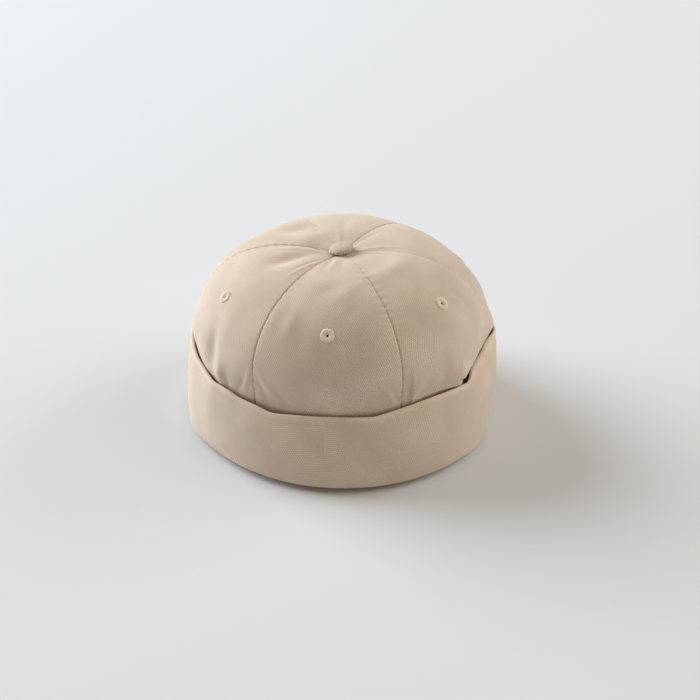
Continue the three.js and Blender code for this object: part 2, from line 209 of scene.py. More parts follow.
CROWN_CREASES = (
    Crease(10, 0.70, 45, 14, 4.0, 0.55),
    Crease(-3, 0.71, 45, 9, 4.5, -0.5),
    Crease(11, 0.61, 50, 10, 4.5, -0.4),
    Crease(-17.5, 0.54, 88, 14, 3.5, 0.4),
    Crease(-23, 0.56, 84, 12, 3.5, -0.35),
    Crease(-11, 0.47, 95, 12, 4.0, -0.3),
    Crease(-145, 0.806, 70, 7, 2.0, -0.7),
    Crease(-139, 0.80, 115, 6, 1.8, -0.6),
    Crease(-178, 0.80, 80, 8, 3.5, -0.6),
    Crease(69.5, 0.52, 108, 11, 3.2, 0.4),
    Crease(-36, 0.27, 60, 7, 1.8, -0.5),
    Crease(-33, 0.29, 75, 8, 1.6, 0.45),
    Crease(-26, 0.275, 115, 8, 1.8, -0.6),
    Crease(-23, 0.29, 120, 9, 2.2, 0.45),
    Crease(-17, 0.26, 130, 8, 2.2, -0.5),
    Crease(33, 0.275, 65, 8, 1.4, -0.45),
    Crease(35.5, 0.28, 55, 9, 1.5, 0.4),
    Crease(38, 0.275, 45, 8, 1.4, -0.4),
    Crease(27, 0.275, 115, 8, 1.4, -0.45),
    Crease(24.5, 0.28, 125, 9, 1.5, 0.4),
    Crease(-2, 0.262, 90, 6, 2.5, -0.5),
    Crease(47, 0.275, 80, 9, 3.0, -0.5),
    Crease(53, 0.32, 92, 12, 3.5, 0.5),
    Crease(-92, 0.86, 92, 14, 1.8, -0.6),
    Crease(-84, 0.84, 86, 16, 2.2, 0.5),
    Crease(-36, 0.82, 84, 14, 1.3, 0.4),
    Crease(-39, 0.83, 82, 12, 1.2, -0.4),
    Crease(-16, 0.87, 95, 9, 1.8, -0.6),
    Crease(-6, 0.87, 92, 9, 2.0, 0.5),
    Crease(9, 0.885, 86, 8, 1.7, -0.35),
    Crease(24, 0.86, 84, 12, 3.0, 0.5),
    Crease(78, 0.885, 90, 12, 1.8, -0.6),
    Crease(98, 0.87, 92, 13, 2.0, 0.5),
    Crease(140, 0.87, 90, 11, 1.8, -0.45),
    Crease(-170, 0.88, 90, 10, 1.8, 0.45),
)

# A panel's puff is counted from this part of its rise, so that it sinks in at the seams.
PUFF_LEVEL = 0.6

# Slow waves of the crown: their turns round it, their climbs up it, and how they weaken and fade.
WAVE_SEED = 11
WAVE_TURNS = (3, 5, 7, 9, 12, 14, 17)
WAVE_CLIMBS = (4, 18)
WAVE_WEAKENING = 0.6
WAVE_RISE = 0.32
WAVE_FULLNESS = 4.5
WAVE_END = 0.93
WAVE_FADE = 0.2

CUFF_SECTIONS = (
    Section(0.085, 1.0), Section(0.11, 1.005), Section(0.175, 1.007), Section(0.33, 1.008),
    Section(0.56, 1.008), Section(0.79, 1.006), Section(1, 1),
)
SOLE = (86.4, 89.4)
SOLE_WALL = 1.8

# The cuff's foot lies further out at the front right, with a corner at each end of its front.
FOOT_SPREAD = 5.0
FOOT_SPREAD_AZIMUTH = 24
FOOT_FOLDS = (Fold(-62, 0, 10, 0.25, 2.6), Fold(62, 0, 6, 0.25, 1.2), Fold(84, 0, 15, 0.25, -5.6))

RIM_CREASES = (
    RimCrease(-152, 98, 55.5), RimCrease(-124, 98.4, 55.5), RimCrease(-98, 96.6, 55.3),
    RimCrease(-82, 95.3, 54), RimCrease(-74, 94.9, 52.4), RimCrease(-67.5, 94.6, 50.8),
    RimCrease(-59.7, 93.8, 49.2), RimCrease(-51, 94.8, 47.5), RimCrease(-41.3, 93.6, 48),
    RimCrease(-36.1, 93, 46.4), RimCrease(-27.6, 92.8, 46.1), RimCrease(-21, 93.2, 44.2),
    RimCrease(-9.8, 92.1, 46), RimCrease(-2, 92.1, 46.6), RimCrease(9.3, 92.2, 46.7),
    RimCrease(18.4, 92.9, 46.3), RimCrease(28.8, 92.2, 48.4), RimCrease(41.6, 93.3, 50.5),
    RimCrease(51.4, 94.2, 50), RimCrease(60, 96, 49.3), RimCrease(62, 96.1, 51.3),
    RimCrease(64.5, 96.2, 53), RimCrease(70, 96.3, 54.2), RimCrease(77, 96.3, 54.6),
    RimCrease(84, 96.4, 54.8), RimCrease(90, 97.2, 55), RimCrease(97, 98, 55.2),
    RimCrease(124, 98.4, 55.5), RimCrease(152, 98, 55.5), RimCrease(180, 98.4, 55.5),
)

# The rim is averaged over these turns, and is rolled over the wall, with a lip and a hollow below.
RIM_BLURS = (-1.8, -0.9, 0, 0.9, 1.8)
RIM_LIP = Bell(0.25, 0, 1.6)
RIM_HOLLOW = Bell(-0.3, 5, 2.6)
RIM_BOW = 2.4
ROLL_HEIGHT = 0.92

# Waves of the cuff, which are full from this level above its foot.
CUFF_WAVES = (Wave(5, 1.1, 3.1, 0.4, 1), Wave(9, 2.3, 4.2, 1.3, 0.7), Wave(16, 0.5, 6.1, 0, 0.5))
CUFF_WAVE_RISE = 0.3
CUFF_WAVE_FOOT = 0.2

# The button: heights, how round its dome is, gathers over its seat, and its slope along X and Y.
BUTTON_SEAT = 111.4
BUTTON_SHANK = 107.8
BUTTON_EDGE = 1.1
BUTTON_HEIGHT = 4.0
BUTTON_POLE = 0.25
BUTTON_ROUND = 0.9
BUTTON_GATHERS = 17
BUTTON_GATHER = Bell(0.14, 0.9, 0.9)
BUTTON_TILT = (0.15, -0.03)
BUTTON_LIFT = 0.6

# The eyelets: their shares of the crown's section, their threads, and the hole cut for each.
EYELET_SHARES = {
    "front": 0.524, "front_right": 0.5475, "back_right": 0.47, "back": 0.51, "back_left": 0.47,
    "front_left": 0.530,
}
EYELET_STRANDS = 30
STRAND_RISE = 0.13
STRAND_SPREAD = 0.4
HOLE_RADIUS = 2.3
HOLE_EASE = 0.05
HOLE_SPREAD = 4.0

# Grids of the meshes. Rows of a panel are closer together round the cuff's rim.
SEAM_GAP = 0.02
PANEL_COLUMNS = 81
EVEN_COLUMNS = 0.16
PANEL_SHARES = np.concatenate([
    np.linspace(0, 0.24, 16, endpoint=False), np.linspace(0.24, 0.3, 36, endpoint=False),
    np.linspace(0.3, 1, 151),
])
CUFF_COLUMNS = 480
CUFF_ROWS = 73
CUFF_ROW_CROWDING = 1.6
INNER_ROWS = slice(-1, 8, -2)
BUTTON_COLUMNS = 72
STRAND_COLUMNS = 6
SHARP_ANGLE = 55

# Finishes: constants of the shaders, turns of the twill in degrees, depths of bump and breadth of
# the painted highlight along the cuff's fold in metres, and how far each part of the weave changes
# the tone of the colour.
CLOTH_FINISH = {"Sheen Weight": 0.18, "Sheen Roughness": 0.55, "Specular IOR Level": 0.25}
CROWN_LEAN = 28
CUFF_LEAN = 152
CROSS_TURN = 54
CLOTH_BUMP = 0.0001
BUTTON_BUMP = 0.00008
# The button's cloth colour is the crown's darkened by this share: painted shade on the button.
BUTTON_PAINTED_SHADE = 0.84
PLAIN_TONE = 0.865
RIDGE_TONE = 0.02
BEAD_TONE = 0.28
FIBRE_TONE = 0.12
MOTTLE_TONE = 0.08
PATCH_GAIN = 3.2
PATCH_LEVEL = 0.34
PATCH_LEAST = 0.12
# A painted highlight along the cuff's rolled rim: how much it lightens the tone, and its breadth.
FOLD_HIGHLIGHT_TONE = 0.3
FOLD_HIGHLIGHT_BREADTH = 0.0024
DARKEST = 0.001
THREAD_FINISH = {"Sheen Weight": 0.15, "Specular IOR Level": 0.3}
THREAD_BUMP = 0.0001

# The stage, in metres.
FLOOR_HALF = 16.0
FLOOR_ROUGHNESS = 0.9
WORLD_COLOUR = (1.0, 0.85, 0.70, 1)
WORLD_STRENGTH = 0.272
LAMP_AIM = (0, 0, 0.05)
LAMPS = (
    Lamp("key", (-3.271, 1.491, 1.753), 3.4, 208.0, (0.92, 1.0, 1.08)),
    Lamp("side", (2.909, 1.727, 1.231), 2.4, 38.0, (0.97, 1.02, 1.12)),
    Lamp("right", (2.475, 0.0, 2.475), 3.0, 36.0, (1.02, 1.0, 0.95)),
)

# The camera looks at a point on the axis, which lies at one pixel of the square picture.
CAMERA_AZIMUTH = 5.8
CAMERA_ELEVATION = 30.4
CAMERA_LENS = 100.0
CAMERA_SENSOR = 36.0
PICTURE = 700
MM_PER_PIXEL = 0.633
AIM_HEIGHT = 55
AIM_PIXEL = (341.3, 330.1)


class CapSizes(bpy.types.PropertyGroup):
    """Sizes of the cap and of the stitches and ridges of its cloth."""
    crown_width: FloatProperty(
        name="Crown width", description="Width of the crown at its widest", default=0.184, unit="LENGTH")
    crown_depth: FloatProperty(
        name="Crown depth", description="Depth of the crown, front to back", default=0.1826, unit="LENGTH")
    crown_wall: FloatProperty(
        name="Crown wall", description="Thickness of the crown's twill", default=0.0011, unit="LENGTH")
    panel_puff: FloatProperty(
        name="Panel puff", description="How far a panel swells between its seams", default=0.0014,
        unit="LENGTH")
    cuff_radius: FloatProperty(
        name="Cuff radius", description="Radius of the cuff near the floor", default=0.0976, unit="LENGTH")
    cuff_wall: FloatProperty(
        name="Cuff wall", description="Thickness of the doubled cuff", default=0.0024, unit="LENGTH")
    button_radius: FloatProperty(
        name="Button radius", description="Radius of the covered button", default=0.0076, unit="LENGTH")
    eyelet_radius: FloatProperty(
        name="Eyelet radius", description="Outer radius of an embroidered eyelet", default=0.0042,
        unit="LENGTH")
    stitch_pitch: FloatProperty(
        name="Stitch pitch", description="Distance from stitch to stitch", default=0.0031, unit="LENGTH")
    wale_pitch: FloatProperty(
        name="Wale pitch", description="Distance between the twill's diagonal ridges", default=0.0012,
        unit="LENGTH")


class CapColours(bpy.types.PropertyGroup):
    """Colours of the cap and of the floor."""
    cloth: FloatVectorProperty(
        name="Cloth", description="Beige of the twill", subtype="COLOR", size=3, min=0, max=1,
        default=(0.73, 0.597, 0.465))
    thread: FloatVectorProperty(
        name="Thread", description="Beige of the sewing thread", subtype="COLOR", size=3, min=0, max=1,
        default=(0.86, 0.735, 0.59))
    floor: FloatVectorProperty(
        name="Floor", description="Pale grey of the floor", subtype="COLOR", size=3, min=0, max=1,
        default=(0.75, 0.765, 0.775))


# Shape functions


def through_rows(rows, share):
    """Smooth curve through equally spaced rows: a cubic between each two, whose slope at a row is
    half the step between its neighbours, with the end rows repeated."""
    rows = np.asarray(rows, float)
    last = len(rows) - 1
    place = np.clip(np.asarray(share, float), 0, 1) * last
    left = np.minimum(place.astype(int), last - 1)
    part = (place - left)[..., None]
    a, b, c, d = (rows[np.clip(left + step, 0, last)] for step in (-1, 0, 1, 2))
    slope = (c - a) / 2
    square = a - 2.5 * b + 2 * c - d / 2
    cube = 1.5 * (b - c) + (d - a) / 2
    return b + part * (slope + part * (square + part * cube))


def turn_between(start, end):
    """Signed turn in degrees from one azimuth to another, the short way round."""
    return (np.asarray(end) - start + 180) % 360 - 180


def polar(azimuth, reach, height):
    """Point at an azimuth, a distance from the axis and a height."""
    angle = np.radians(azimuth)
    height = np.broadcast_to(height, np.broadcast(angle, reach).shape)
    return np.stack([reach * np.sin(angle), -reach * np.cos(angle), height], -1)


def oval(azimuth, sizes):
    """Radius of an ellipse of the crown's width and depth, read at an azimuth."""
    angle = np.radians(azimuth)
    across = np.sin(angle) / (sizes.crown_width / 2)
    deep = np.cos(angle) / (sizes.crown_depth / 2)
    return 1 / np.hypot(across, deep) / MM


def bell(row, distance):
    """A bell over a distance: its rise times exp of minus the square of (distance - middle) / spread."""
    return row.rise * np.exp(-((distance - row.middle) / row.spread) ** 2)


def fade_out(value, end, length):
    """One up to a length before the end, and from there a straight line down to zero."""
    return np.clip((end - value) / length, 0, 1)


def crown_waves(azimuth, share):
    """Slow unevenness of the cloth: a sum of waves with whole turns round the crown, weaker the
    more turns they have, each fading towards the button and the hem."""
    draw = np.random.default_rng(WAVE_SEED)
    waves = np.zeros(np.broadcast(azimuth, share).shape)
    for turns in WAVE_TURNS:
        climbs = draw.uniform(*WAVE_CLIMBS)
        start = draw.uniform(0, 2 * pi)
        lift = draw.uniform(0, 2 * pi)
        wave = np.sin(turns * np.radians(azimuth) + start) * np.sin(climbs * share + lift)
        waves += wave / turns ** WAVE_WEAKENING
    waves = waves * np.clip(WAVE_FULLNESS * share * (1 - share), 0, 1)
    return waves * fade_out(share, WAVE_END, WAVE_FADE)


def smooth_step(value, start, end):
    """Zero before start, one after end, and a smooth cubic between them."""
    part = np.clip((value - start) / (end - start), 0, 1)
    return part * part * (3 - 2 * part)


def straight_run(start, end, start_reach, end_reach, azimuth):
    """Reach of the straight line between two points given by azimuth and reach."""
    whole = np.radians(end - start)
    part = np.radians(azimuth - start)
    return start_reach * end_reach * np.sin(whole) / (
        start_reach * np.sin(part) + end_reach * np.sin(whole - part))


def panel_puff(azimuth, share, sizes):
    """Swell of a panel between its seams: |sin|, lower at the hem and the button."""
    puffed = np.abs(np.sin(np.radians(180 / PANEL_TURN * (azimuth - SEAM_TURN))))
    return sizes.panel_puff / MM * (puffed - PUFF_LEVEL) * np.clip(4 * share * (1 - share), 0, 1)


def crown_lip(azimuth, share, sizes):
    """Step of the crown's lip on the right: set in below it, out to straight runs between the
    bends at it, and fading upwards as a bell; elsewhere set in a little behind the cuff's rim."""
    turned = turn_between(0, azimuth)
    bends = np.array(LIP_BENDS)
    place = np.clip(np.searchsorted(bends[:, 0], turned) - 1, 0, len(bends) - 2)
    start, end = bends[place], bends[place + 1]
    reach = straight_run(start[..., 0], end[..., 0], start[..., 1], end[..., 1], turned)
    reach = np.where((turned > bends[0, 0]) & (turned < bends[-1, 0]), reach, 0)
    plain = through_rows(CROWN_SECTIONS, LIP_SHARE)[1] * oval(azimuth, sizes)
    plain = plain + panel_puff(azimuth, LIP_SHARE, sizes)
    out = smooth_step(share, LIP_SHARE - LIP_TURN, LIP_SHARE)
    above = np.maximum(0, share - LIP_SHARE) / LIP_FADE
    right = smooth_step(turned, *LIP_START) * (1 - smooth_step(turned, *LIP_END))
    inset = LIP_INSET * right * smooth_step(turned, *INSET_START) * (1 - out)
    inset = inset * smooth_step(share, *INSET_OVER_HEM)
    over_rim = share - RIM_SHARE - (rim_line(azimuth)[1] - RIM_SHARE_HEIGHT) * SHARE_PER_MM
    low = smooth_step(over_rim, *LIP_OVER_RIM)
    step = np.maximum(0, reach - plain) * (right * out + (1 - right) * low)
    behind = (1 - smooth_step(over_rim, *CREVICE_OVER_RIM)) * smooth_step(share, *CREVICE_OVER_HEM)
    return step * np.exp(-above ** 2) - inset - CREVICE * (1 - right) * behind


def seam_lean(azimuth, share):
    """Turn in degrees by which the left seam lies further back, high on the crown: a bell round
    the seam, fading before the button."""
    near = np.minimum(np.abs(turn_between(LEANING_SEAM, azimuth)) / SEAM_LEAN_SPREAD, 1)
    high = smooth_step(share, *LEAN_START) * (1 - smooth_step(share, *LEAN_END))
    return SEAM_LEAN * np.cos(near * pi / 2) ** 2 * high


def seam_depth(azimuth, share):
    """Depth of the nearest seam's groove, which changes towards the button."""
    depth = np.zeros(np.broadcast(azimuth, share).shape)
    near_top = smooth_step(share, *SEAM_TOP)
    for seam in SEAMS:
        near = np.abs(turn_between(seam.azimuth, azimuth)) <= SEAM_TURN
        depth = np.where(near, seam.depth + (seam.top_depth - seam.depth) * near_top, depth)
    return depth


def crown_rise(azimuth, share, reach, sizes):
    """Height of the cloth above the plain section: panels puffed as |sin| between seams, folds as
    round bells, creases as long turned bells, a stitched groove and puckers at each seam, slow
    waves."""
    turned = azimuth + seam_lean(azimuth, share)
    seam_turn = turn_between(0, azimuth - SEAM_TURN) % PANEL_TURN
    seam_turn = np.minimum(seam_turn, PANEL_TURN - seam_turn)
    from_seam = np.radians(seam_turn) * reach
    rise = panel_puff(azimuth, share, sizes) + crown_lip(turned, share, sizes)
    for fold in CROWN_FOLDS:
        across = turn_between(fold.azimuth, turned) / fold.across
        along = (share - fold.share) / fold.along
        rise = rise + fold.rise * np.exp(-across ** 2 - along ** 2)
    for crease in CROWN_CREASES:
        right = np.radians(turn_between(crease.azimuth, turned)) * reach
        upward = (share - crease.share) * CROWN_LENGTH
        turn = radians(crease.turn)
        along = (right * cos(turn) + upward * sin(turn)) / crease.length
        across = (upward * cos(turn) - right * sin(turn)) / crease.width
        rise = rise + crease.rise * np.exp(-along ** 2 - across ** 2)
    climb = share * CROWN_LENGTH
    depth = seam_depth(azimuth, share)
    drift = PUCKER_DRIFT * np.sin(climb / PUCKER_DRIFT_LENGTH) + PUCKER_TURN * azimuth
    pucker = np.sin(2 * pi * climb / PUCKER_PITCH + drift) * fade_out(share, PUCKER_END, PUCKER_FADE)
    rise = rise + pucker * depth * bell(PUCKER, from_seam)
    stitch = np.sin(2 * pi * climb / (sizes.stitch_pitch / MM))
    groove = bell(SEAM_HOLLOW, from_seam) + (1 + STITCH_SINK * stitch) * bell(SEAM_LINE, from_seam)
    groove = groove - np.maximum(0, -stitch) * bell(STITCH_BULGE, from_seam)
    rise = rise - groove * depth
    return rise + WAVE_RISE * crown_waves(turned, share)


def crown(azimuth, share, sizes):
    """Outer face of the crown: the section turned round the oval plan, moved along the
    section's normal by its rise."""
    azimuth, share = np.broadcast_arrays(np.asarray(azimuth, float), np.asarray(share, float))
    step = 1e-4
    turned = azimuth + seam_lean(azimuth, share)
    half = oval(turned, sizes)
    section = through_rows(CROWN_SECTIONS, share)
    slope = through_rows(CROWN_SECTIONS, share + step) - through_rows(CROWN_SECTIONS, share - step)
    climb, spread = slope[..., 0], slope[..., 1] * half
    size = np.hypot(climb, spread)
    reach = section[..., 1] * half
    rise = crown_rise(azimuth, share, reach, sizes)
    return polar(turned, reach + rise * climb / size, section[..., 0] - rise * spread / size)


def crown_normal(azimuth, share, sizes):
    """Outward unit normal of the crown, from the slopes of its face."""
    turn, step = 0.1, 0.001
    share = np.clip(share, 2 * step, 1 - 2 * step)
    around = crown(azimuth + turn, share, sizes) - crown(azimuth - turn, share, sizes)
    upward = crown(azimuth, share + step, sizes) - crown(azimuth, share - step, sizes)
    normal = np.cross(around, upward)
    return normal / np.linalg.norm(normal, axis=-1, keepdims=True)


def rim_line(azimuth):
    """Reach and height of the rim: straight runs between creases, averaged over a few degrees."""
    rows = np.array(sorted(RIM_CREASES))
    rows = np.vstack([rows[-1] - (360, 0, 0), rows, rows[0] + (360, 0, 0)])
    reaches, heights = [], []
    for blur in RIM_BLURS:
        turned = turn_between(0, azimuth + blur)
        left = np.clip(np.searchsorted(rows[:, 0], turned, side="right") - 1, 0, len(rows) - 2)
        start, end = rows[left], rows[left + 1]
        part = (turned - start[..., 0]) / (end[..., 0] - start[..., 0])
        reaches.append(straight_run(start[..., 0], end[..., 0], start[..., 1], end[..., 1], turned))
        heights.append(start[..., 2] + (end[..., 2] - start[..., 2]) * part)
    return np.mean(reaches, 0), np.mean(heights, 0)


def cuff_foot(azimuth, level, sizes):
    """Reach of the cuff near the floor: a circle, longer as a squared cosine along the line to the
    front right, with bells for its corners and its flat right side, which fade as it rises."""
    spread = np.cos(np.radians(azimuth - FOOT_SPREAD_AZIMUTH)) ** 2
    reach = sizes.cuff_radius / MM + FOOT_SPREAD * spread
    for fold in FOOT_FOLDS:
        across = turn_between(fold.azimuth, azimuth) / fold.across
        reach = reach + fold.rise * np.exp(-across ** 2 - (level / fold.along) ** 2)
    return reach


def cuff_outside(azimuth, share, sizes):
    """Reach and height of the cuff's outer face: the foot's plan near the floor, taking the creased
    plan of the rim as it rises, with a soft lip under the rim, a quarter-round curl on the right and
    slow waves."""
    rim, top = rim_line(azimuth)
    section = through_rows(CUFF_SECTIONS, share)
    level = np.clip(section[..., 0], 0, 1)
    foot = cuff_foot(azimuth, level, sizes)
    reach = section[..., 1] * (foot + (rim - foot) * level ** RIM_BOW)
    below_rim = top * (1 - level)
    lip = bell(RIM_LIP, below_rim) + bell(RIM_HOLLOW, below_rim)
    turned = turn_between(0, azimuth)
    curled = smooth_step(turned, *CURL_START) * (1 - smooth_step(turned, *CURL_END))
    turn_in = np.clip(1 - below_rim / CURL_DEPTH, 0, 1)
    lip = lip * (1 - curled) - CURL_REACH * curled * (1 - np.sqrt(1 - turn_in ** 2))
    angle = np.radians(azimuth)
    waves = 0
    for wave in CUFF_WAVES:
        ripple = np.sin(wave.turns * angle + wave.start) * np.sin(wave.climb * level + wave.lift)
        waves = waves + wave.share * ripple
    waves = waves * np.clip(level / CUFF_WAVE_FOOT, 0, 1)
    return reach + lip + CUFF_WAVE_RISE * waves, section[..., 0] * top


def cuff_loops(azimuth, sizes):
    """Closed section of the cuff at each azimuth, and the row of its rim: a flat sole, a quarter
    sine up to the outer face, the outer face, a half round over the rim, the inner face one wall
    further in, and a quarter sine back to the sole."""
    wall = sizes.cuff_wall / MM
    share = 1 - np.linspace(1, 0, CUFF_ROWS)[None, :] ** CUFF_ROW_CROWDING
    reach, height = cuff_outside(azimuth, share, sizes)
    outside = np.stack([reach, height])
    along = np.gradient(outside, axis=2)
    along = along / np.linalg.norm(along, axis=0)
    out = np.stack([along[1], -along[0]])
    inner_reach, inner_height = (outside - wall * out)[:, :, INNER_ROWS]
    roll = np.radians(np.linspace(0, 180, 11)[1:-1])
    rim, rim_out, rim_along = outside[:, :, -1:], out[:, :, -1:], along[:, :, -1:]
    roll_reach, roll_height = rim + wall / 2 * (
        (np.cos(roll) - 1) * rim_out + ROLL_HEIGHT * np.sin(roll) * rim_along)
    edge, edge_height = reach[:, :1], height[:, :1]
    sole = np.linspace(*SOLE, 4)[None, :] + 0 * azimuth
    turn_up = np.linspace(0, 1, 11)[None, 1:-1]
    under_reach = np.concatenate([sole, SOLE[1] + (edge - SOLE[1]) * turn_up], 1)
    under_height = np.concatenate([0 * sole, edge_height * np.sin(turn_up * pi / 2)], 1)
    foot_reach = SOLE[0] + (inner_reach[:, -1:] - SOLE[0]) * np.linspace(1, 0, 10)[None, :]
    turn_in = np.clip((foot_reach - SOLE[1]) / (edge - SOLE[1]), 0, 1)
    foot_height = SOLE_WALL + edge_height * np.sin(turn_in * pi / 2)
    reaches = np.concatenate([under_reach, reach, roll_reach, inner_reach, foot_reach], 1)
    heights = np.concatenate([under_height, height, roll_height, inner_height, foot_height], 1)
    rim_row = under_reach.shape[1] + reach.shape[1] - 1
    return polar(azimuth, reaches, heights), rim_row


def eyelet_row(name):
    """Row of panel cells that the eyelet is cut in, and the share at that row's middle."""
    row = int(np.searchsorted(PANEL_SHARES, EYELET_SHARES[name])) - 1
    return row, (PANEL_SHARES[row] + PANEL_SHARES[row + 1]) / 2


def panel_grid(middle, eyelet_share, sizes):
    """Azimuths and shares of a panel's grid, and its places on the flat cloth. Columns crowd towards
    the seams as a sine. Round the eyelet's hole a distance d becomes the root of d squared plus the
    hole's radius squared, which fades outwards as a bell."""
    place = np.linspace(-1, 1, PANEL_COLUMNS + 1)
    place = EVEN_COLUMNS * place + (1 - EVEN_COLUMNS) * np.sin(place * pi / 2)
    share = PANEL_SHARES[:, None]
    reach = through_rows(CROWN_SECTIONS, share)[..., 1] * oval(middle, sizes)
    turn = (SEAM_TURN - np.degrees(SEAM_GAP / reach)) * place
    sideways = np.radians(turn) * reach
    square = ((share - eyelet_share) * CROWN_LENGTH) ** 2 + sideways ** 2
    spread = np.sqrt(1 + HOLE_RADIUS ** 2 / (square + HOLE_EASE))
    spread = 1 + (spread - 1) * np.exp(-square / HOLE_SPREAD ** 2)
    flat = np.stack(np.broadcast_arrays(sideways, share * CROWN_LENGTH), -1)
    return middle + turn * spread, eyelet_share + (share - eyelet_share) * spread, flat


def button_loops(azimuth, sizes):
    """The button's section turned round its axis: a shank, a rounded underside and a dome on a
    quarter ellipse, gathered round its edge as a sine, and tilted to lie on the crown."""
    radius, seat = sizes.button_radius / MM, BUTTON_SEAT
    under = np.array([
        (BUTTON_POLE, BUTTON_SHANK), (1.6, BUTTON_SHANK), (2.5, BUTTON_SHANK + 0.2), (2.5, seat - 0.6),
        (3.2, seat - 0.1), (radius - 0.9, seat), (radius - 0.25, seat + 0.25), (radius, seat + 0.7),
    ])
    bow = np.radians(np.linspace(0, 90, 22))[:-1]
    dome_height = seat + BUTTON_EDGE + (BUTTON_HEIGHT - BUTTON_EDGE) * np.sin(bow)
    dome = np.stack([radius * np.cos(bow) ** BUTTON_ROUND, dome_height], -1)
    profile = np.concatenate([under, dome, [(BUTTON_POLE, seat + BUTTON_HEIGHT)]])
    gather = np.sin(np.radians(BUTTON_GATHERS * azimuth)) * bell(BUTTON_GATHER, profile[:, 1] - seat)
    loops = polar(azimuth, profile[:, 0] + gather, profile[:, 1])
    loops[..., 2] += loops[..., 0] * BUTTON_TILT[0] + loops[..., 1] * BUTTON_TILT[1] + BUTTON_LIFT
    return loops


def eyelet_loops(azimuth, sizes):
    """An eyelet's section turned round its axis, lying flat: a tube through the cloth and a rolled
    rim, whose top is ribbed by the threads as |cos|."""
    radius = sizes.eyelet_radius / MM
    profile = np.array([
        (0.75, -1.3), (1.35, -1.3), (1.6, -0.4), (radius - 0.4, -0.45), (radius, -0.25),
        (radius + 0.02, 0.1), (radius - 0.25, 0.4), (radius - 0.7, 0.58), (radius - 1.3, 0.64),
        (radius - 1.9, 0.6), (1.75, 0.48), (1.35, 0.26), (0.95, 0.05), (0.72, -0.5),
    ])
    top = np.clip((profile[:, 1] + 0.2) / 0.4, 0, 1)
    ridge = np.abs(np.cos(np.radians(azimuth * EYELET_STRANDS / 2))) - 0.5
    ridge = STRAND_RISE * ridge * top
    return polar(azimuth, profile[:, 0] + STRAND_SPREAD * ridge, profile[:, 1] + ridge)


# Mesh builders


def quads_of(index):
    """Four corners of each cell of an index grid, columns to the right and rows upwards."""
    return np.stack([index[:-1, :-1], index[:-1, 1:], index[1:, 1:], index[1:, :-1]], -1).reshape(-1, 4)


def new_piece(name, points, quads, material, uv):
    """A mesh object of the given points (millimetres), quads and corner UVs, in metres."""
    mesh = bpy.data.meshes.new(name)
    mesh.from_pydata((points.reshape(-1, 3) * MM).tolist(), [], quads.tolist())
    layer = mesh.uv_layers.new(name="Cloth")
    layer.data.foreach_set("uv", np.ascontiguousarray(uv, np.float32).ravel())
    mesh.shade_smooth()
    mesh.set_sharp_from_angle(angle=radians(SHARP_ANGLE))
    mesh.materials.append(material)
    mesh.validate()
    piece = bpy.data.objects.new(name, mesh)
    bpy.context.scene.collection.objects.link(piece)
    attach(piece, "root")
    return piece


def wall_mesh(name, outer, inner, flat, hole, material):
    """A closed wall between two grids of points: both faces, the four edges, and one cell cut
    right through. flat holds each grid point's place on the cloth before sewing."""
    rows, columns = outer.shape[:2]
    count = rows * columns
    index = np.arange(count).reshape(rows, columns)
    faces = quads_of(index)
    keep = np.ones((rows - 1, columns - 1), bool)
    keep[hole] = False
    gap = faces.reshape(rows - 1, columns - 1, 4)[hole]
    faces = faces[keep.ravel()]
    edges = np.concatenate([
        np.stack([index[0, :-1], index[0, 1:]], -1), np.stack([index[:-1, -1], index[1:, -1]], -1),
        np.stack([index[-1, 1:], index[-1, :-1]], -1), np.stack([index[1:, 0], index[:-1, 0]], -1),
        np.stack([np.roll(gap, -1), gap], -1),
    ])
    sides = np.stack([edges[:, 1], edges[:, 0], edges[:, 0] + count, edges[:, 1] + count], -1)
    quads = np.concatenate([faces, faces[:, ::-1] + count, sides])
    flat = np.concatenate([flat.reshape(-1, 2)] * 2)
    return new_piece(name, np.concatenate([outer.reshape(-1, 3), inner.reshape(-1, 3)]), quads,
                     material, flat[quads] * MM)


def ring_mesh(name, loops, flat, material):
    """A closed ring through closed loops of points. flat has one more row and column than the
    loops, so that the cloth's pattern runs on past the join."""
    count, size = loops.shape[:2]
    around = np.arange(count + 1) % count
    along = np.arange(size + 1) % size
    index = around[None, :] * size + along[:, None]
    quads = quads_of(index)
    places = np.arange((size + 1) * (count + 1)).reshape(size + 1, count + 1)
    uv = flat.transpose(1, 0, 2).reshape(-1, 2)[quads_of(places)]
    return new_piece(name, loops, quads, material, uv * MM)


# Shader maths


class Value:
    """A node socket that takes part in Python expressions: each operator adds a Math node."""

    def __init__(self, tree, socket=None):
        self.tree = tree
        self.socket = socket

    def node(self, kind, settings=None, output=0, **inputs):
        """Any other node: its type, its settings, the output that is taken, and the values or links
        of its sockets, by name or by number as _0, _1 and so on."""
        made = self.tree.nodes.new(kind)
        for key, value in (settings or {}).items():
            setattr(made, key, value)
        for key, value in inputs.items():
            plug(self.tree, made.inputs[int(key[1:]) if key[1:].isdigit() else key], value)
        return Value(self.tree, made.outputs[output])

    def math(self, operation, *values):
        """A Math node of these values or links."""
        places = {f"_{place}": value for place, value in enumerate(values)}
        return self.node("ShaderNodeMath", {"operation": operation}, **places)

    def __add__(self, other):
        return self.math("ADD", self, other)

    def __radd__(self, other):
        return self.math("ADD", other, self)

    def __sub__(self, other):
        return self.math("SUBTRACT", self, other)

    def __rsub__(self, other):
        return self.math("SUBTRACT", other, self)

    def __mul__(self, other):
        return self.math("MULTIPLY", self, other)

    def __rmul__(self, other):
        return self.math("MULTIPLY", other, self)

    def __truediv__(self, other):
        return self.math("DIVIDE", self, other)

    def __rtruediv__(self, other):
        return self.math("DIVIDE", other, self)

    def sine(self):
        return self.math("SINE", self)


def plug(tree, socket, value):
    """Links a value to a socket, or sets a plain number or colour on it."""
    if isinstance(value, Value):
        tree.links.new(value.socket, socket)
    else:
        socket.default_value = value


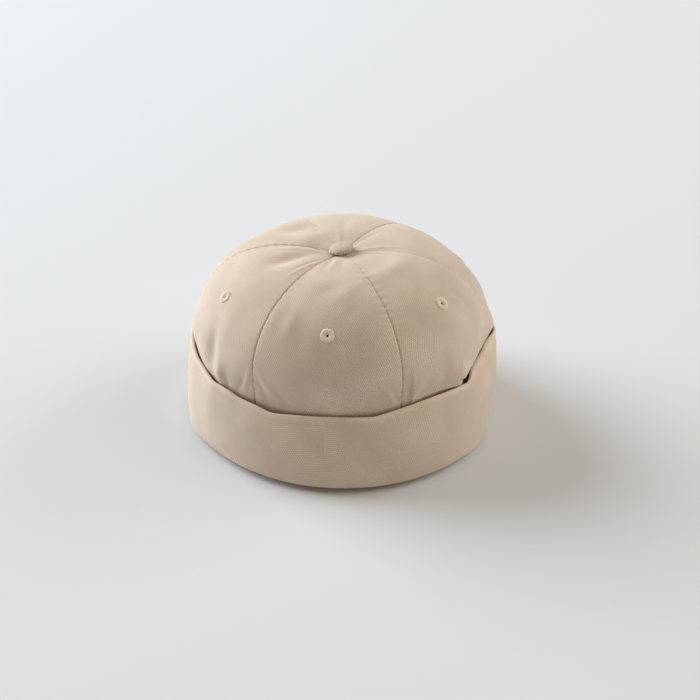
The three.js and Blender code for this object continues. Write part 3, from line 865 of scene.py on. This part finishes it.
def plain_shader(name, finish):
    """A new material, and its shader with the constants of a finish set on its own sockets."""
    material = bpy.data.materials.new(name)
    material.use_nodes = True
    shader = material.node_tree.nodes["Principled BSDF"]
    for socket, value in finish.items():
        shader.inputs[socket].default_value = value
    return material, shader


def noise(place, **sizes):
    """Noise between 0 and 1 at a place, by the noise node's own sizes."""
    return place.node("ShaderNodeTexNoise", Vector=place, **sizes)


def threads(u, v, lean, pitch, wobble):
    """Side by side threads, from 0 to 1: a sine across their lean, moved about by a wobble."""
    angle = radians(lean)
    place = (u * cos(angle) + v * sin(angle)) / pitch + wobble
    return 0.5 + 0.5 * (place * (2 * pi)).sine()


def dress(shader, colour, tone, **sockets):
    """Feeds a shader: the colour times a tone of about 1, and what else varies over the surface."""
    dark = tuple(DARKEST * part for part in colour)
    base = tone.node("ShaderNodeMix", {"data_type": "RGBA", "clamp_factor": False}, 2,
                     _0=tone, _6=(*dark, 1), _7=(*colour, 1))
    plug(tone.tree, shader.inputs["Base Color"], base)
    for name, value in sockets.items():
        plug(tone.tree, shader.inputs[name], value)


def cloth_material(name, colour, wale, lean, depth, fold=None):
    """Cotton twill on the cloth's own UV: diagonal ridges beaded by the cross threads, stronger in
    patches, with fine fibres and mottled yarn, in colour, roughness and bump. Along a fold at that
    place of V it is painted paler as a mottled bell: a painted highlight on the rolled rim."""
    material, shader = plain_shader(name, CLOTH_FINISH)
    start = Value(material.node_tree)
    uv = start.node("ShaderNodeUVMap", {"uv_map": "Cloth"})
    u = start.node("ShaderNodeSeparateXYZ", None, 0, Vector=uv)
    v = start.node("ShaderNodeSeparateXYZ", None, 1, Vector=uv)
    wobble = noise(uv, Scale=110.0, Detail=3.0)
    ridge = threads(u, v, lean, wale, wobble * 1.5)
    yarn = threads(u, v, lean - CROSS_TURN, wale, wobble * 1.2)
    fibre = noise(uv, Scale=1500.0, Detail=3.0, Roughness=0.65)
    mottle = noise(uv, Scale=38.0, Detail=4.0, Roughness=0.6)
    patch = PATCH_GAIN * (noise(uv, Scale=34.0, Detail=2.0) - PATCH_LEVEL)
    patch = start.math("MAXIMUM", patch, PATCH_LEAST)
    weave = (RIDGE_TONE * ridge + BEAD_TONE * ridge * yarn) * (0.25 + 1.5 * patch)
    tone = PLAIN_TONE + weave + FIBRE_TONE * (fibre - 0.5) + MOTTLE_TONE * (mottle - 0.5)
    # Painted highlight: the tone is raised along the fold, as a mottled bell.
    if fold is not None:
        from_fold = (v - fold) / FOLD_HIGHLIGHT_BREADTH
        tone = tone + FOLD_HIGHLIGHT_TONE * start.math("EXPONENT", 0 - from_fold * from_fold) * mottle
    height = ridge * (0.2 + 0.8 * yarn) + 0.5 * fibre
    bump = start.node("ShaderNodeBump", Strength=1.0, Distance=depth, Height=height)
    dress(shader, colour, tone, Roughness=0.93 - 0.08 * ridge, Normal=bump)
    return material


def thread_material(name, colour):
    """Spun thread: fine fibres as noise on Object coordinates, in colour, roughness and bump."""
    material, shader = plain_shader(name, THREAD_FINISH)
    place = Value(material.node_tree).node("ShaderNodeTexCoord", None, "Object")
    fibre = noise(place, Scale=2600.0, Detail=2.0)
    bump = fibre.node("ShaderNodeBump", Strength=0.6, Distance=THREAD_BUMP, Height=fibre)
    dress(shader, colour, 0.95 + 0.1 * fibre, Roughness=0.8 + 0.15 * fibre, Normal=bump)
    return material


def material_named(name, make, *details):
    """The material of that name, made once."""
    return bpy.data.materials.get(name) or make(name, *details)


# Stage


def add_floor(scene, colour):
    """A flat square of pale paper."""
    finish = {"Base Color": (*colour, 1), "Roughness": FLOOR_ROUGHNESS}
    mesh = bpy.data.meshes.new("floor")
    corners = [(-1, -1, 0), (1, -1, 0), (1, 1, 0), (-1, 1, 0)]
    mesh.from_pydata((FLOOR_HALF * np.array(corners)).tolist(), [], [(0, 1, 2, 3)])
    mesh.materials.append(plain_shader("floor_paper", finish)[0])
    floor = bpy.data.objects.new("floor", mesh)
    scene.collection.objects.link(floor)


def add_light(scene):
    """Warm light from all round and the studio lamps, which face the cap."""
    world = bpy.data.worlds.new("studio")
    world.use_nodes = True
    background = world.node_tree.nodes["Background"]
    background.inputs["Color"].default_value = WORLD_COLOUR
    background.inputs["Strength"].default_value = WORLD_STRENGTH
    scene.world = world
    for row in LAMPS:
        light = bpy.data.lights.new(row.name, "AREA")
        light.shape = "DISK"
        light.size = row.size
        light.energy = row.power
        light.color = row.colour
        lamp = bpy.data.objects.new(row.name, light)
        scene.collection.objects.link(lamp)
        turn = (Vector(LAMP_AIM) - Vector(row.place)).to_track_quat("-Z", "Y")
        lamp.matrix_world = Matrix.Translation(row.place) @ turn.to_matrix().to_4x4()
    scene.view_settings.view_transform = "Standard"


def add_camera(scene):
    """A camera that sees the aimed point at its pixel, at the given scale there."""
    azimuth, elevation = radians(CAMERA_AZIMUTH), radians(CAMERA_ELEVATION)
    back = Vector((sin(azimuth) * cos(elevation), -cos(azimuth) * cos(elevation), sin(elevation)))
    right = Vector((cos(azimuth), sin(azimuth), 0))
    up = back.cross(right)
    eye = Vector((0, 0, AIM_HEIGHT)) + back * (PICTURE * CAMERA_LENS / CAMERA_SENSOR * MM_PER_PIXEL)
    eye += right * (PICTURE / 2 - AIM_PIXEL[0]) * MM_PER_PIXEL
    eye -= up * (PICTURE / 2 - AIM_PIXEL[1]) * MM_PER_PIXEL
    data = bpy.data.cameras.new("camera")
    data.lens = CAMERA_LENS
    data.sensor_width = CAMERA_SENSOR
    camera = bpy.data.objects.new("camera", data)
    scene.collection.objects.link(camera)
    turn = Matrix((right, up, back)).transposed()
    camera.matrix_world = Matrix.Translation(eye * MM) @ turn.to_4x4()
    scene.camera = camera


# Operators


class OBJECT_OT_stage(bpy.types.Operator):
    """Set the floor, the lights and the camera"""
    bl_idname = "cap.stage"
    bl_label = "Stage"

    def execute(self, context):
        add_floor(context.scene, context.scene.cap_colours.floor)
        add_light(context.scene)
        add_camera(context.scene)
        return {"FINISHED"}


class OBJECT_OT_crown_panels(bpy.types.Operator):
    """Sew the six crown panels"""
    bl_idname = "cap.crown_panels"
    bl_label = "Crown panels"

    def execute(self, context):
        sizes, colours = context.scene.cap_sizes, context.scene.cap_colours
        cloth = material_named(
            "crown_twill", cloth_material, colours.cloth, sizes.wale_pitch, CROWN_LEAN, CLOTH_BUMP)
        for number, name in enumerate(PANEL_NAMES):
            row, eyelet_share = eyelet_row(name)
            azimuth, share, flat = panel_grid(number * PANEL_TURN, eyelet_share, sizes)
            outer = crown(azimuth, share, sizes)
            inner = outer - crown_normal(azimuth, share, sizes) * (sizes.crown_wall / MM)
            piece = wall_mesh(f"crown_{name}", outer, inner, flat, (row, PANEL_COLUMNS // 2), cloth)
            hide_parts(f"crown_panel_{name}")
        return {"FINISHED"}


class OBJECT_OT_cuff(bpy.types.Operator):
    """Turn up the doubled cuff"""
    bl_idname = "cap.cuff"
    bl_label = "Cuff"

    def execute(self, context):
        sizes, colours = context.scene.cap_sizes, context.scene.cap_colours
        azimuth = np.linspace(0, 360, CUFF_COLUMNS, endpoint=False)[:, None]
        loops, rim_row = cuff_loops(azimuth, sizes)
        steps = np.linalg.norm(np.diff(loops[:1], axis=1, append=loops[:1, :1]), axis=-1)
        climb = np.concatenate([[0], np.cumsum(steps[0])])
        around = np.linspace(0, 2 * pi * sizes.cuff_radius / MM, CUFF_COLUMNS + 1)
        flat = np.stack(np.broadcast_arrays(around[:, None], climb[None, :]), -1)
        # The rim's fold, along which the cuff's twill is painted paler: a painted highlight.
        fold = float(climb[rim_row]) * MM
        cloth = material_named(
            "cuff_twill", cloth_material, colours.cloth, sizes.wale_pitch, CUFF_LEAN, CLOTH_BUMP, fold)
        piece = ring_mesh("cuff_band", loops, flat, cloth)
        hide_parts("cuff")
        return {"FINISHED"}


class OBJECT_OT_button(bpy.types.Operator):
    """Put on the covered button"""
    bl_idname = "cap.button"
    bl_label = "Button"

    def execute(self, context):
        sizes, colours = context.scene.cap_sizes, context.scene.cap_colours
        # The button's colour is the cloth's darkened: painted shade on the button's dome.
        painted_shade_colour = tuple(BUTTON_PAINTED_SHADE * part for part in colours.cloth)
        cloth = material_named(
            "button_twill", cloth_material, painted_shade_colour, sizes.wale_pitch, CROWN_LEAN, BUTTON_BUMP)
        azimuth = np.linspace(0, 360, BUTTON_COLUMNS, endpoint=False)[:, None]
        loops = button_loops(azimuth, sizes)
        flat = np.concatenate([loops, loops[:1]])
        flat = np.concatenate([flat, flat[:, :1]], 1)[..., :2]
        piece = ring_mesh("button_dome", loops, flat, cloth)
        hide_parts("top_button")
        return {"FINISHED"}


class OBJECT_OT_eyelets(bpy.types.Operator):
    """Embroider an eyelet in each panel"""
    bl_idname = "cap.eyelets"
    bl_label = "Eyelets"

    def execute(self, context):
        sizes, colours = context.scene.cap_sizes, context.scene.cap_colours
        thread = material_named("embroidery", thread_material, colours.thread)
        columns = EYELET_STRANDS * STRAND_COLUMNS
        ring = eyelet_loops(np.linspace(0, 360, columns, endpoint=False)[:, None], sizes)
        flat = np.zeros((ring.shape[0] + 1, ring.shape[1] + 1, 2))
        for number, name in enumerate(PANEL_NAMES):
            middle = np.array(number * PANEL_TURN)
            share = np.array(eyelet_row(name)[1])
            out = crown_normal(middle, share, sizes)
            side = np.array([cos(radians(middle)), sin(radians(middle)), 0])
            loops = crown(middle, share, sizes) + ring @ np.stack([side, np.cross(out, side), out])
            piece = ring_mesh(f"eyelet_ring_{name}", loops, flat, thread)
            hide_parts(f"eyelet_{name}")
        return {"FINISHED"}


class VIEW3D_PT_docker_cap(bpy.types.Panel):
    """Steps of the cap, in the order in which they are made"""
    bl_label = "Docker cap"
    bl_space_type = "VIEW_3D"
    bl_region_type = "UI"
    bl_category = "Docker cap"

    def draw(self, context):
        for step in STEPS:
            self.layout.operator(step.bl_idname)


STEPS = (OBJECT_OT_stage, OBJECT_OT_crown_panels, OBJECT_OT_cuff, OBJECT_OT_button, OBJECT_OT_eyelets)
CLASSES = (CapSizes, CapColours, *STEPS, VIEW3D_PT_docker_cap)


def register():
    for item in CLASSES:
        bpy.utils.register_class(item)
    bpy.types.Scene.cap_sizes = PointerProperty(type=CapSizes)
    bpy.types.Scene.cap_colours = PointerProperty(type=CapColours)


def unregister():
    del bpy.types.Scene.cap_colours
    del bpy.types.Scene.cap_sizes
    for item in reversed(CLASSES):
        bpy.utils.unregister_class(item)


def main():
    register()
    bpy.ops.cap.stage()
    bpy.ops.cap.crown_panels()
    bpy.ops.cap.cuff()
    bpy.ops.cap.button()
    bpy.ops.cap.eyelets()


if __name__ == "__main__":
    main()
